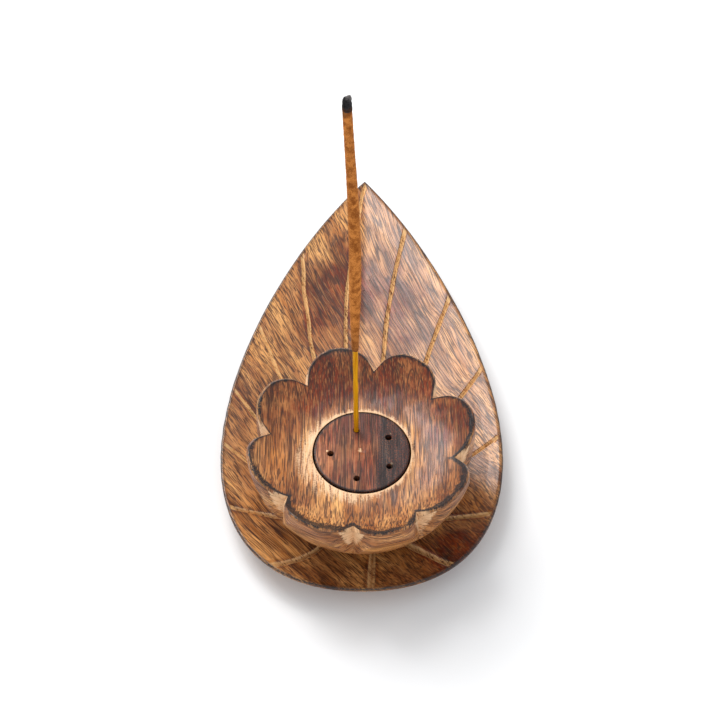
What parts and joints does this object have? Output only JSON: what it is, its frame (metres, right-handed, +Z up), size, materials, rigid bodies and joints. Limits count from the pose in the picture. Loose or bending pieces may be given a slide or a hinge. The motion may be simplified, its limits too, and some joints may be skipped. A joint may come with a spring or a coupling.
{
  "type": "incense burner",
  "caption": "Carved wooden incense burner: lotus-shaped bowl with a drilled disc, fixed on a leaf-shaped dished tray, with an incense stick standing in it.",
  "frame": {"origin": "on the table, at the middle of the leaf tray's length and width", "axes": "+Z up, +Y towards the leaf's tip, +X to the right seen from the rounded front"},
  "size_m": [0.0848, 0.154, 0.1776],
  "materials": {
    "tray_wood": "torched and waxed mango wood, open grain",
    "screw_steel": "zinc-plated",
    "bowl_wood": "torched and waxed mango wood, charred rim",
    "disc_wood": "darkly torched wood",
    "bamboo": "dyed bamboo",
    "incense": "matt incense paste, rolled",
    "char": "burnt black",
    "ash": "powdery grey ash"
  },
  "bodies": {
    "burner": {"leaf_tray": "tray_wood", "base_screw": "screw_steel", "lotus_bowl": "bowl_wood", "stick_disc": "disc_wood"},
    "incense_stick": {"bamboo_core": "bamboo", "incense_paste": "incense", "charred_tip": "char", "ash_flake": "ash"}
  },
  "joints": [
    {"name": "stick_lift", "type": "slide", "parent": "burner", "child": "incense_stick", "axis": [-0.0148, 0, 0.9999], "range_m": [0, 0.02]}
  ]
}
